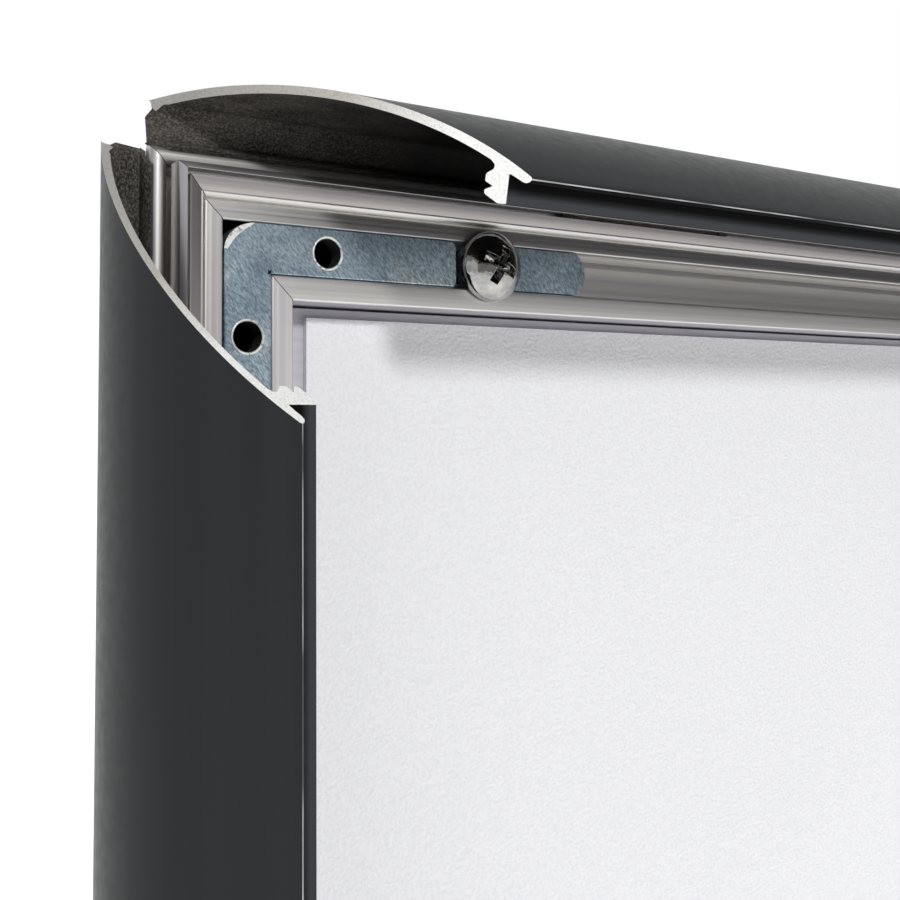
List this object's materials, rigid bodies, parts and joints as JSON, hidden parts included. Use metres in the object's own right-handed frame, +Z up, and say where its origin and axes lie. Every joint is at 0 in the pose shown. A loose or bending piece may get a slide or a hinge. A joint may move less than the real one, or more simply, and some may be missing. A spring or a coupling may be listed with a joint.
{
  "type": "sandwich board",
  "caption": "Folding double-sided pavement sign: hinged aluminium snap frames with bowed charcoal covers, white sheets, stays and legs on flat feet.",
  "frame": {"origin": "on the floor, midway between the four feet, under the top hinge", "axes": "+Z up; -Y out of the front panel (the one with two covers open); +X to the right of someone facing the front panel"},
  "size_m": [0.6468, 0.4912, 1.036],
  "materials": {
    "mill_aluminium": "mill-finish extrusion",
    "cover_charcoal": "satin anodised charcoal",
    "zinc_steel": "blue zinc plate",
    "spring_steel": "dark spring steel",
    "polished_screw": "bright plated",
    "plated_nut": "plated",
    "back_board": "matte",
    "white_sheet": "fine orange peel",
    "leg_aluminium": "satin",
    "foot_rubber": "moulded matte",
    "black_steel": "black powder coat"
  },
  "bodies": {
    "front_panel": {"front_top_rail": "mill_aluminium", "front_bottom_rail": "mill_aluminium", "front_left_stile": "mill_aluminium", "front_right_stile": "mill_aluminium", "front_corner_brackets": "zinc_steel", "front_leaf_springs": "spring_steel", "front_fixing_plates": "zinc_steel", "front_frame_screws": "polished_screw", "front_frame_nuts": "plated_nut", "front_back_panel": "back_board", "front_poster_sheet": "white_sheet", "front_left_leg": "leg_aluminium", "front_right_leg": "leg_aluminium", "front_left_foot": "foot_rubber", "front_right_foot": "foot_rubber", "front_hinge_leaves": "black_steel", "hinge_pins": "plated_nut", "front_stay_brackets": "black_steel", "stay_pivot_rivets": "plated_nut"},
    "rear_panel": {"rear_top_rail": "mill_aluminium", "rear_bottom_rail": "mill_aluminium", "rear_left_stile": "mill_aluminium", "rear_right_stile": "mill_aluminium", "rear_corner_brackets": "zinc_steel", "rear_leaf_springs": "spring_steel", "rear_fixing_plates": "zinc_steel", "rear_frame_screws": "polished_screw", "rear_frame_nuts": "plated_nut", "rear_back_panel": "back_board", "rear_poster_sheet": "white_sheet", "rear_left_leg": "leg_aluminium", "rear_right_leg": "leg_aluminium", "rear_left_foot": "foot_rubber", "rear_right_foot": "foot_rubber", "rear_hinge_leaves": "black_steel", "rear_stay_tracks": "black_steel"},
    "front_top_cover": {"front_top_cover": "cover_charcoal"},
    "front_bottom_cover": {"front_bottom_cover": "cover_charcoal"},
    "front_left_cover": {"front_left_cover": "cover_charcoal"},
    "front_right_cover": {"front_right_cover": "cover_charcoal"},
    "rear_top_cover": {"rear_top_cover": "cover_charcoal"},
    "rear_bottom_cover": {"rear_bottom_cover": "cover_charcoal"},
    "rear_left_cover": {"rear_left_cover": "cover_charcoal"},
    "rear_right_cover": {"rear_right_cover": "cover_charcoal"},
    "left_stay": {"left_stay": "black_steel", "left_stay_pin": "plated_nut"},
    "right_stay": {"right_stay": "black_steel", "right_stay_pin": "plated_nut"}
  },
  "joints": [
    {"name": "fold", "type": "hinge", "parent": "front_panel", "child": "rear_panel", "pos_m": [0, 0, 1], "axis": [-1, 0, 0], "range_deg": [0, 26]},
    {"name": "front_top_cover_snap", "type": "hinge", "parent": "front_panel", "child": "front_top_cover", "pos_m": [0, -0.01259, 1.02617], "axis": [-1, 0, 0], "range_deg": [-77.8, 12.2]},
    {"name": "front_bottom_cover_snap", "type": "hinge", "parent": "front_panel", "child": "front_bottom_cover", "pos_m": [0, -0.21152, 0.1645], "axis": [1, 0, 0], "range_deg": [0, 90]},
    {"name": "front_left_cover_snap", "type": "hinge", "parent": "front_panel", "child": "front_left_cover", "pos_m": [-0.31867, -0.11205, 0.59533], "axis": [0, -0.225, -0.9744], "range_deg": [-80.9, 9.1]},
    {"name": "front_right_cover_snap", "type": "hinge", "parent": "front_panel", "child": "front_right_cover", "pos_m": [0.31867, -0.11205, 0.59533], "axis": [0, 0.225, 0.9744], "range_deg": [0, 90]},
    {"name": "rear_top_cover_snap", "type": "hinge", "parent": "rear_panel", "child": "rear_top_cover", "pos_m": [0, 0.01259, 1.02617], "axis": [1, 0, 0], "range_deg": [0, 90]},
    {"name": "rear_bottom_cover_snap", "type": "hinge", "parent": "rear_panel", "child": "rear_bottom_cover", "pos_m": [0, 0.21152, 0.1645], "axis": [-1, 0, 0], "range_deg": [0, 90]},
    {"name": "rear_left_cover_snap", "type": "hinge", "parent": "rear_panel", "child": "rear_left_cover", "pos_m": [0.28567, 0.11205, 0.59533], "axis": [0, 0.225, -0.9744], "range_deg": [0, 90]},
    {"name": "rear_right_cover_snap", "type": "hinge", "parent": "rear_panel", "child": "rear_right_cover", "pos_m": [-0.28567, 0.11205, 0.59533], "axis": [0, -0.225, 0.9744], "range_deg": [0, 90]},
    {"name": "left_stay_pivot", "type": "hinge", "parent": "front_panel", "child": "left_stay", "pos_m": [-0.287, -0.05624, 0.75641], "axis": [-1, 0, 0], "range_deg": [0, 52]},
    {"name": "right_stay_pivot", "type": "hinge", "parent": "front_panel", "child": "right_stay", "pos_m": [0.287, -0.05624, 0.75641], "axis": [-1, 0, 0], "range_deg": [0, 52]}
  ],
  "couplings": [
    {"joint": "left_stay_pivot", "follows": "fold", "ratio": 2},
    {"joint": "right_stay_pivot", "follows": "fold", "ratio": 2}
  ]
}
